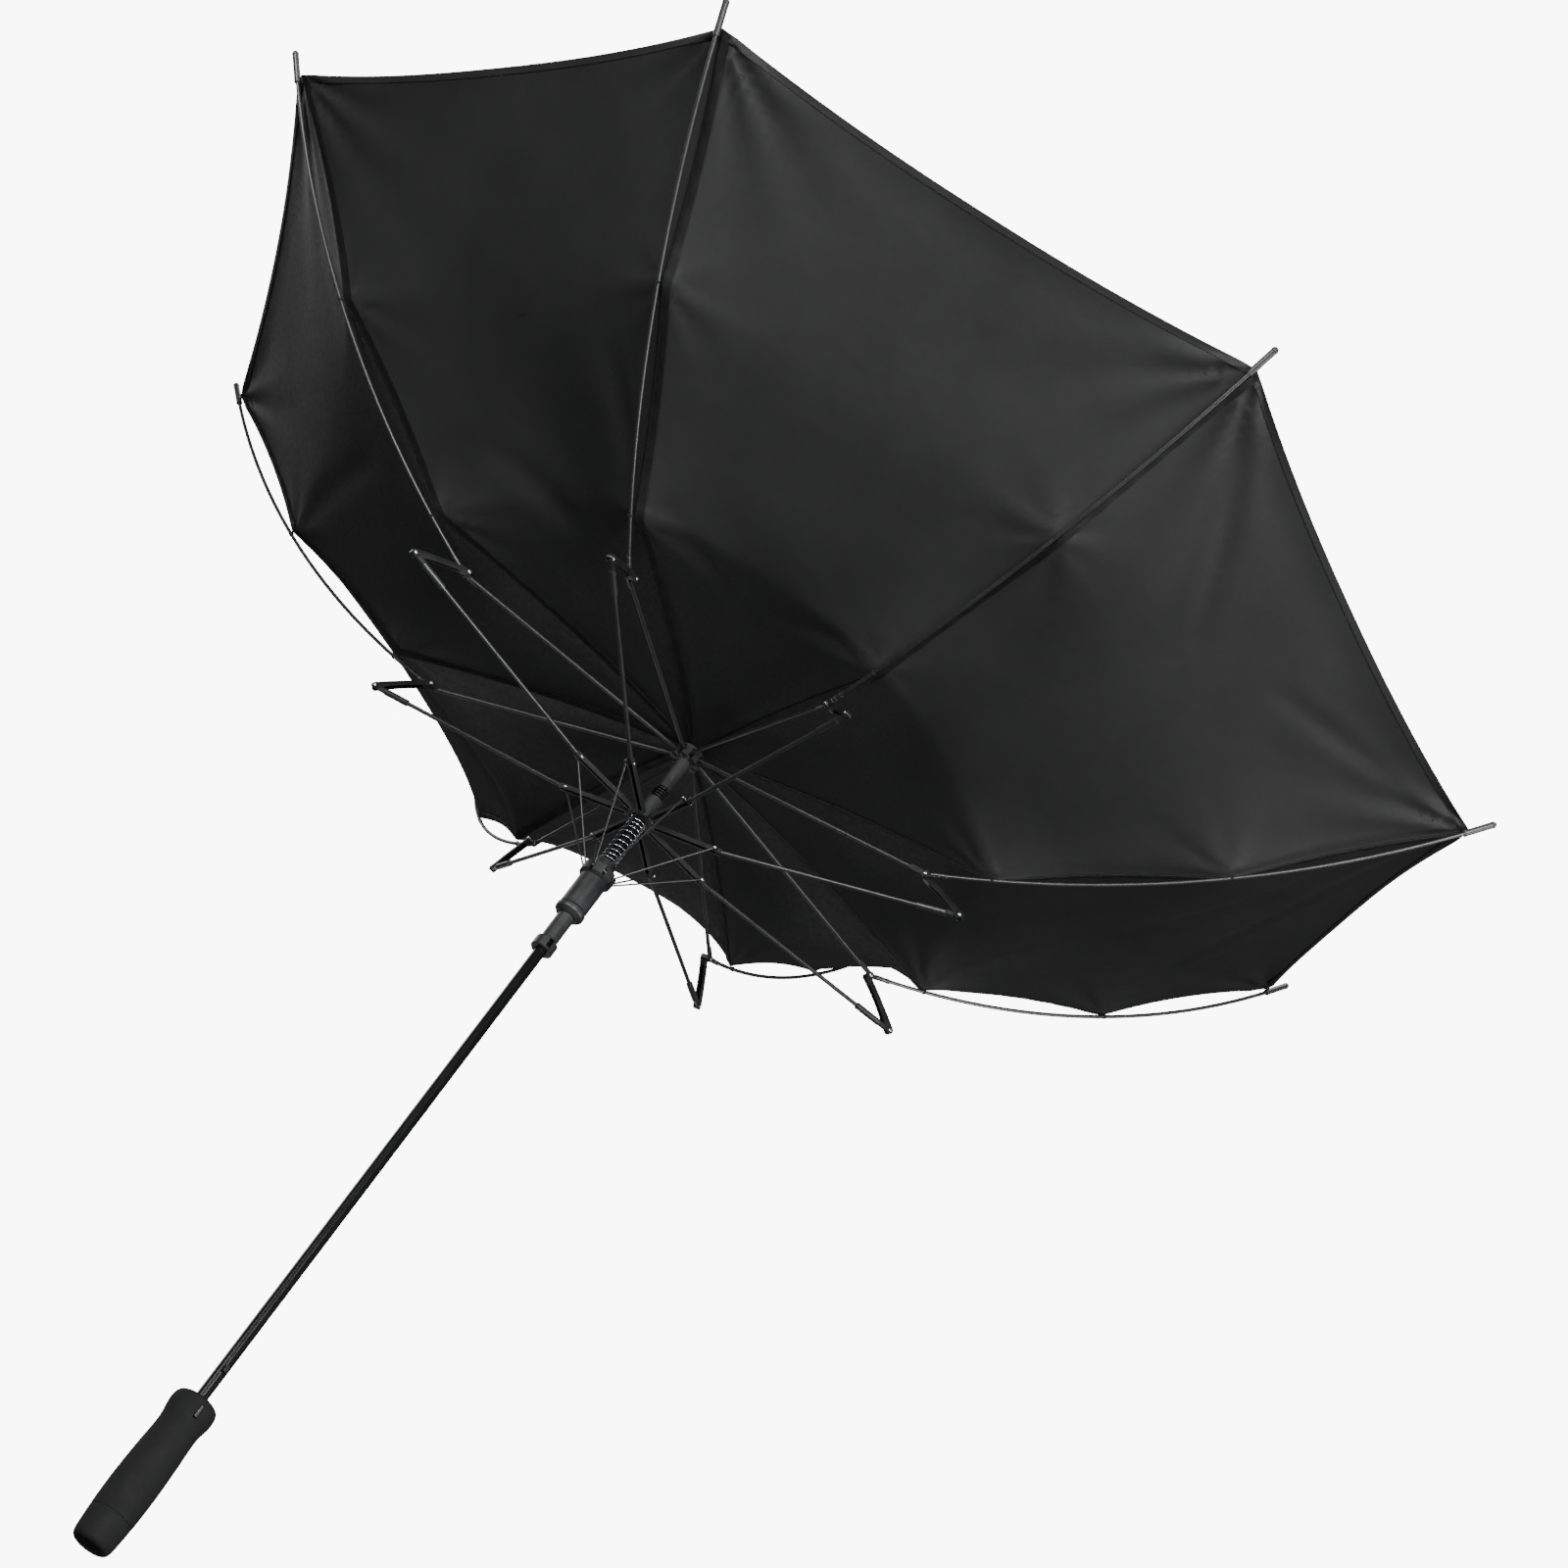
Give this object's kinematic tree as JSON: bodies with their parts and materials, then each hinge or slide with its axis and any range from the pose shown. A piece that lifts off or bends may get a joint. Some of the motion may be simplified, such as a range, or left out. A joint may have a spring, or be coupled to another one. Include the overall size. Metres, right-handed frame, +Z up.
{
  "type": "golf umbrella",
  "caption": "Long-shaft golf umbrella with a double-hub storm frame and a straight foam handle, its canopy blown inside out into a bowl.",
  "frame": {"origin": "centre of the handle's flat end face", "axes": "+Z up the shaft towards the ferrule; -Y towards the push button; +X along the first rib"},
  "size_m": [1.3469, 1.402, 1.2539],
  "materials": {
    "shaft_paint": "gloss black paint",
    "grip_foam": "matte soft foam",
    "black_plastic": "satin moulded",
    "pin_steel": "bright pins",
    "spring_steel": "bright spring wire",
    "rib_fibre": "gloss black glass-fibre rod",
    "arm_steel": "gloss black",
    "wire_steel": "black coated wire",
    "pongee": "matte woven pongee"
  },
  "bodies": {
    "shaft_set": {"shaft": "shaft_paint", "handle_grip": "grip_foam", "handle_end_cap": "grip_foam", "handle_core": "black_plastic", "catch_spring": "spring_steel", "crown_notch": "black_plastic", "crown_pins": "pin_steel", "crown_washer": "black_plastic", "ferrule": "black_plastic", "crown_sleeve": "black_plastic", "bumper_spring": "spring_steel", "canopy": "pongee"},
    "runner": {"runner_body": "black_plastic", "runner_pins": "pin_steel", "runner_neck": "black_plastic"},
    "hub": {"upper_hub": "black_plastic", "hub_pins": "pin_steel", "main_spring": "spring_steel"},
    "button": {"push_button": "black_plastic"},
    "catch": {"runner_catch": "spring_steel"},
    "inner_rib_1_body": {"inner_rib_1": "rib_fibre"},
    "outer_rib_1_body": {"outer_rib_1": "rib_fibre"},
    "stretcher_1_body": {"stretcher_1": "arm_steel"},
    "link_1_body": {"link_1": "black_plastic"},
    "wire_1_body": {"wire_1": "wire_steel"},
    "inner_rib_2_body": {"inner_rib_2": "rib_fibre"},
    "outer_rib_2_body": {"outer_rib_2": "rib_fibre"},
    "stretcher_2_body": {"stretcher_2": "arm_steel"},
    "link_2_body": {"link_2": "black_plastic"},
    "wire_2_body": {"wire_2": "wire_steel"},
    "inner_rib_3_body": {"inner_rib_3": "rib_fibre"},
    "outer_rib_3_body": {"outer_rib_3": "rib_fibre"},
    "stretcher_3_body": {"stretcher_3": "arm_steel"},
    "link_3_body": {"link_3": "black_plastic"},
    "wire_3_body": {"wire_3": "wire_steel"},
    "inner_rib_4_body": {"inner_rib_4": "rib_fibre"},
    "outer_rib_4_body": {"outer_rib_4": "rib_fibre"},
    "stretcher_4_body": {"stretcher_4": "arm_steel"},
    "link_4_body": {"link_4": "black_plastic"},
    "wire_4_body": {"wire_4": "wire_steel"},
    "inner_rib_5_body": {"inner_rib_5": "rib_fibre"},
    "outer_rib_5_body": {"outer_rib_5": "rib_fibre"},
    "stretcher_5_body": {"stretcher_5": "arm_steel"},
    "link_5_body": {"link_5": "black_plastic"},
    "wire_5_body": {"wire_5": "wire_steel"},
    "inner_rib_6_body": {"inner_rib_6": "rib_fibre"},
    "outer_rib_6_body": {"outer_rib_6": "rib_fibre"},
    "stretcher_6_body": {"stretcher_6": "arm_steel"},
    "link_6_body": {"link_6": "black_plastic"},
    "wire_6_body": {"wire_6": "wire_steel"},
    "inner_rib_7_body": {"inner_rib_7": "rib_fibre"},
    "outer_rib_7_body": {"outer_rib_7": "rib_fibre"},
    "stretcher_7_body": {"stretcher_7": "arm_steel"},
    "link_7_body": {"link_7": "black_plastic"},
    "wire_7_body": {"wire_7": "wire_steel"},
    "inner_rib_8_body": {"inner_rib_8": "rib_fibre"},
    "outer_rib_8_body": {"outer_rib_8": "rib_fibre"},
    "stretcher_8_body": {"stretcher_8": "arm_steel"},
    "link_8_body": {"link_8": "black_plastic"},
    "wire_8_body": {"wire_8": "wire_steel"}
  },
  "joints": [
    {"name": "runner_slide", "type": "slide", "parent": "shaft_set", "child": "runner", "axis": [0, 0, -1], "range_m": [0, 0.4941], "stiffness_N_per_m": 40, "springref_m": -0.4, "deforming": ["main_spring", "canopy"]},
    {"name": "hub_slide", "type": "slide", "parent": "shaft_set", "child": "hub", "axis": [0, 0, -1], "range_m": [0, 0.5381]},
    {"name": "button_press", "type": "slide", "parent": "shaft_set", "child": "button", "axis": [0, 1, 0], "range_m": [0, 0.0018], "stiffness_N_per_m": 300},
    {"name": "catch_press", "type": "slide", "parent": "shaft_set", "child": "catch", "axis": [0, 1, 0], "range_m": [0, 0.004]},
    {"name": "inner_rib_1_fold", "type": "hinge", "parent": "shaft_set", "child": "inner_rib_1_body", "pos_m": [0.011, 0, 0.924], "axis": [0, 1, 0], "range_deg": [0, 79.84]},
    {"name": "outer_rib_1_fold", "type": "hinge", "parent": "inner_rib_1_body", "child": "outer_rib_1_body", "pos_m": [0.2694, 0, 0.8952], "axis": [0, 1, 0], "range_deg": [0, 43.96]},
    {"name": "stretcher_1_fold", "type": "hinge", "parent": "hub", "child": "stretcher_1_body", "pos_m": [0.011, 0, 0.8405], "axis": [0, -1, 0], "range_deg": [0, 83.02]},
    {"name": "link_1_fold", "type": "hinge", "parent": "stretcher_1_body", "child": "link_1_body", "pos_m": [0.31797, 0, 0.86998], "axis": [0, 1, 0], "range_deg": [0, 155.3]},
    {"name": "wire_1_fold", "type": "hinge", "parent": "runner", "child": "wire_1_body", "pos_m": [0.0145, 0, 0.767], "axis": [0, -1, 0], "range_deg": [0, 39.25]},
    {"name": "inner_rib_2_fold", "type": "hinge", "parent": "shaft_set", "child": "inner_rib_2_body", "pos_m": [0.00778, 0.00778, 0.924], "axis": [-0.7071, 0.7071, 0], "range_deg": [0, 79.84]},
    {"name": "outer_rib_2_fold", "type": "hinge", "parent": "inner_rib_2_body", "child": "outer_rib_2_body", "pos_m": [0.19049, 0.19049, 0.8952], "axis": [-0.7071, 0.7071, 0], "range_deg": [0, 46.56]},
    {"name": "stretcher_2_fold", "type": "hinge", "parent": "hub", "child": "stretcher_2_body", "pos_m": [0.00778, 0.00778, 0.8405], "axis": [0.7071, -0.7071, 0], "range_deg": [0, 83.02]},
    {"name": "link_2_fold", "type": "hinge", "parent": "stretcher_2_body", "child": "link_2_body", "pos_m": [0.22484, 0.22484, 0.86998], "axis": [-0.7071, 0.7071, 0], "range_deg": [0, 155.3]},
    {"name": "wire_2_fold", "type": "hinge", "parent": "runner", "child": "wire_2_body", "pos_m": [0.01025, 0.01025, 0.767], "axis": [0.7071, -0.7071, 0], "range_deg": [0, 39.25]},
    {"name": "inner_rib_3_fold", "type": "hinge", "parent": "shaft_set", "child": "inner_rib_3_body", "pos_m": [0, 0.011, 0.924], "axis": [-1, 0, 0], "range_deg": [0, 79.84]},
    {"name": "outer_rib_3_fold", "type": "hinge", "parent": "inner_rib_3_body", "child": "outer_rib_3_body", "pos_m": [0, 0.2694, 0.8952], "axis": [-1, 0, 0], "range_deg": [0, 33.56]},
    {"name": "stretcher_3_fold", "type": "hinge", "parent": "hub", "child": "stretcher_3_body", "pos_m": [0, 0.011, 0.8405], "axis": [1, 0, 0], "range_deg": [0, 83.02]},
    {"name": "link_3_fold", "type": "hinge", "parent": "stretcher_3_body", "child": "link_3_body", "pos_m": [0, 0.31797, 0.86998], "axis": [-1, 0, 0], "range_deg": [0, 155.3]},
    {"name": "wire_3_fold", "type": "hinge", "parent": "runner", "child": "wire_3_body", "pos_m": [0, 0.0145, 0.767], "axis": [1, 0, 0], "range_deg": [0, 39.25]},
    {"name": "inner_rib_4_fold", "type": "hinge", "parent": "shaft_set", "child": "inner_rib_4_body", "pos_m": [-0.00778, 0.00778, 0.924], "axis": [-0.7071, -0.7071, 0], "range_deg": [0, 79.84]},
    {"name": "outer_rib_4_fold", "type": "hinge", "parent": "inner_rib_4_body", "child": "outer_rib_4_body", "pos_m": [-0.19049, 0.19049, 0.8952], "axis": [-0.7071, -0.7071, 0], "range_deg": [0, 33.56]},
    {"name": "stretcher_4_fold", "type": "hinge", "parent": "hub", "child": "stretcher_4_body", "pos_m": [-0.00778, 0.00778, 0.8405], "axis": [0.7071, 0.7071, 0], "range_deg": [0, 83.02]},
    {"name": "link_4_fold", "type": "hinge", "parent": "stretcher_4_body", "child": "link_4_body", "pos_m": [-0.22484, 0.22484, 0.86998], "axis": [-0.7071, -0.7071, 0], "range_deg": [0, 155.3]},
    {"name": "wire_4_fold", "type": "hinge", "parent": "runner", "child": "wire_4_body", "pos_m": [-0.01025, 0.01025, 0.767], "axis": [0.7071, 0.7071, 0], "range_deg": [0, 39.25]},
    {"name": "inner_rib_5_fold", "type": "hinge", "parent": "shaft_set", "child": "inner_rib_5_body", "pos_m": [-0.011, 0, 0.924], "axis": [0, -1, 0], "range_deg": [0, 79.84]},
    {"name": "outer_rib_5_fold", "type": "hinge", "parent": "inner_rib_5_body", "child": "outer_rib_5_body", "pos_m": [-0.2694, 0, 0.8952], "axis": [0, -1, 0], "range_deg": [0, 33.56]},
    {"name": "stretcher_5_fold", "type": "hinge", "parent": "hub", "child": "stretcher_5_body", "pos_m": [-0.011, 0, 0.8405], "axis": [0, 1, 0], "range_deg": [0, 83.02]},
    {"name": "link_5_fold", "type": "hinge", "parent": "stretcher_5_body", "child": "link_5_body", "pos_m": [-0.31797, 0, 0.86998], "axis": [0, -1, 0], "range_deg": [0, 155.3]},
    {"name": "wire_5_fold", "type": "hinge", "parent": "runner", "child": "wire_5_body", "pos_m": [-0.0145, 0, 0.767], "axis": [0, 1, 0], "range_deg": [0, 39.25]},
    {"name": "inner_rib_6_fold", "type": "hinge", "parent": "shaft_set", "child": "inner_rib_6_body", "pos_m": [-0.00778, -0.00778, 0.924], "axis": [0.7071, -0.7071, 0], "range_deg": [0, 79.84]},
    {"name": "outer_rib_6_fold", "type": "hinge", "parent": "inner_rib_6_body", "child": "outer_rib_6_body", "pos_m": [-0.19049, -0.19049, 0.8952], "axis": [0.7071, -0.7071, 0], "range_deg": [0, 33.56]},
    {"name": "stretcher_6_fold", "type": "hinge", "parent": "hub", "child": "stretcher_6_body", "pos_m": [-0.00778, -0.00778, 0.8405], "axis": [-0.7071, 0.7071, 0], "range_deg": [0, 83.02]},
    {"name": "link_6_fold", "type": "hinge", "parent": "stretcher_6_body", "child": "link_6_body", "pos_m": [-0.22484, -0.22484, 0.86998], "axis": [0.7071, -0.7071, 0], "range_deg": [0, 155.3]},
    {"name": "wire_6_fold", "type": "hinge", "parent": "runner", "child": "wire_6_body", "pos_m": [-0.01025, -0.01025, 0.767], "axis": [-0.7071, 0.7071, 0], "range_deg": [0, 39.25]},
    {"name": "inner_rib_7_fold", "type": "hinge", "parent": "shaft_set", "child": "inner_rib_7_body", "pos_m": [0, -0.011, 0.924], "axis": [1, 0, 0], "range_deg": [0, 79.84]},
    {"name": "outer_rib_7_fold", "type": "hinge", "parent": "inner_rib_7_body", "child": "outer_rib_7_body", "pos_m": [0, -0.2694, 0.8952], "axis": [1, 0, 0], "range_deg": [0, 33.56]},
    {"name": "stretcher_7_fold", "type": "hinge", "parent": "hub", "child": "stretcher_7_body", "pos_m": [0, -0.011, 0.8405], "axis": [-1, 0, 0], "range_deg": [0, 83.02]},
    {"name": "link_7_fold", "type": "hinge", "parent": "stretcher_7_body", "child": "link_7_body", "pos_m": [0, -0.31797, 0.86998], "axis": [1, 0, 0], "range_deg": [0, 155.3]},
    {"name": "wire_7_fold", "type": "hinge", "parent": "runner", "child": "wire_7_body", "pos_m": [0, -0.0145, 0.767], "axis": [-1, 0, 0], "range_deg": [0, 39.25]},
    {"name": "inner_rib_8_fold", "type": "hinge", "parent": "shaft_set", "child": "inner_rib_8_body", "pos_m": [0.00778, -0.00778, 0.924], "axis": [0.7071, 0.7071, 0], "range_deg": [0, 79.84]},
    {"name": "outer_rib_8_fold", "type": "hinge", "parent": "inner_rib_8_body", "child": "outer_rib_8_body", "pos_m": [0.19049, -0.19049, 0.8952], "axis": [0.7071, 0.7071, 0], "range_deg": [0, 33.56]},
    {"name": "stretcher_8_fold", "type": "hinge", "parent": "hub", "child": "stretcher_8_body", "pos_m": [0.00778, -0.00778, 0.8405], "axis": [-0.7071, -0.7071, 0], "range_deg": [0, 83.02]},
    {"name": "link_8_fold", "type": "hinge", "parent": "stretcher_8_body", "child": "link_8_body", "pos_m": [0.22484, -0.22484, 0.86998], "axis": [0.7071, 0.7071, 0], "range_deg": [0, 155.3]},
    {"name": "wire_8_fold", "type": "hinge", "parent": "runner", "child": "wire_8_body", "pos_m": [0.01025, -0.01025, 0.767], "axis": [-0.7071, -0.7071, 0], "range_deg": [0, 39.25]}
  ],
  "couplings": [
    {"joint": "hub_slide", "follows": "runner_slide", "ratio": 1.0891},
    {"joint": "catch_press", "follows": "button_press", "ratio": 2.2222},
    {"joint": "inner_rib_1_fold", "follows": "runner_slide", "rad_per_m": 2.8202},
    {"joint": "outer_rib_1_fold", "follows": "runner_slide", "rad_per_m": 1.5528},
    {"joint": "stretcher_1_fold", "follows": "runner_slide", "rad_per_m": 2.9325},
    {"joint": "link_1_fold", "follows": "runner_slide", "rad_per_m": 5.4857},
    {"joint": "wire_1_fold", "follows": "runner_slide", "rad_per_m": 1.3864},
    {"joint": "inner_rib_2_fold", "follows": "runner_slide", "rad_per_m": 2.8202},
    {"joint": "outer_rib_2_fold", "follows": "runner_slide", "rad_per_m": 1.6447},
    {"joint": "stretcher_2_fold", "follows": "runner_slide", "rad_per_m": 2.9325},
    {"joint": "link_2_fold", "follows": "runner_slide", "rad_per_m": 5.4857},
    {"joint": "wire_2_fold", "follows": "runner_slide", "rad_per_m": 1.3864},
    {"joint": "inner_rib_3_fold", "follows": "runner_slide", "rad_per_m": 2.8202},
    {"joint": "outer_rib_3_fold", "follows": "runner_slide", "rad_per_m": 1.1855},
    {"joint": "stretcher_3_fold", "follows": "runner_slide", "rad_per_m": 2.9325},
    {"joint": "link_3_fold", "follows": "runner_slide", "rad_per_m": 5.4857},
    {"joint": "wire_3_fold", "follows": "runner_slide", "rad_per_m": 1.3864},
    {"joint": "inner_rib_4_fold", "follows": "runner_slide", "rad_per_m": 2.8202},
    {"joint": "outer_rib_4_fold", "follows": "runner_slide", "rad_per_m": 1.1855},
    {"joint": "stretcher_4_fold", "follows": "runner_slide", "rad_per_m": 2.9325},
    {"joint": "link_4_fold", "follows": "runner_slide", "rad_per_m": 5.4857},
    {"joint": "wire_4_fold", "follows": "runner_slide", "rad_per_m": 1.3864},
    {"joint": "inner_rib_5_fold", "follows": "runner_slide", "rad_per_m": 2.8202},
    {"joint": "outer_rib_5_fold", "follows": "runner_slide", "rad_per_m": 1.1855},
    {"joint": "stretcher_5_fold", "follows": "runner_slide", "rad_per_m": 2.9325},
    {"joint": "link_5_fold", "follows": "runner_slide", "rad_per_m": 5.4857},
    {"joint": "wire_5_fold", "follows": "runner_slide", "rad_per_m": 1.3864},
    {"joint": "inner_rib_6_fold", "follows": "runner_slide", "rad_per_m": 2.8202},
    {"joint": "outer_rib_6_fold", "follows": "runner_slide", "rad_per_m": 1.1855},
    {"joint": "stretcher_6_fold", "follows": "runner_slide", "rad_per_m": 2.9325},
    {"joint": "link_6_fold", "follows": "runner_slide", "rad_per_m": 5.4857},
    {"joint": "wire_6_fold", "follows": "runner_slide", "rad_per_m": 1.3864},
    {"joint": "inner_rib_7_fold", "follows": "runner_slide", "rad_per_m": 2.8202},
    {"joint": "outer_rib_7_fold", "follows": "runner_slide", "rad_per_m": 1.1855},
    {"joint": "stretcher_7_fold", "follows": "runner_slide", "rad_per_m": 2.9325},
    {"joint": "link_7_fold", "follows": "runner_slide", "rad_per_m": 5.4857},
    {"joint": "wire_7_fold", "follows": "runner_slide", "rad_per_m": 1.3864},
    {"joint": "inner_rib_8_fold", "follows": "runner_slide", "rad_per_m": 2.8202},
    {"joint": "outer_rib_8_fold", "follows": "runner_slide", "rad_per_m": 1.1855},
    {"joint": "stretcher_8_fold", "follows": "runner_slide", "rad_per_m": 2.9325},
    {"joint": "link_8_fold", "follows": "runner_slide", "rad_per_m": 5.4857},
    {"joint": "wire_8_fold", "follows": "runner_slide", "rad_per_m": 1.3864}
  ]
}
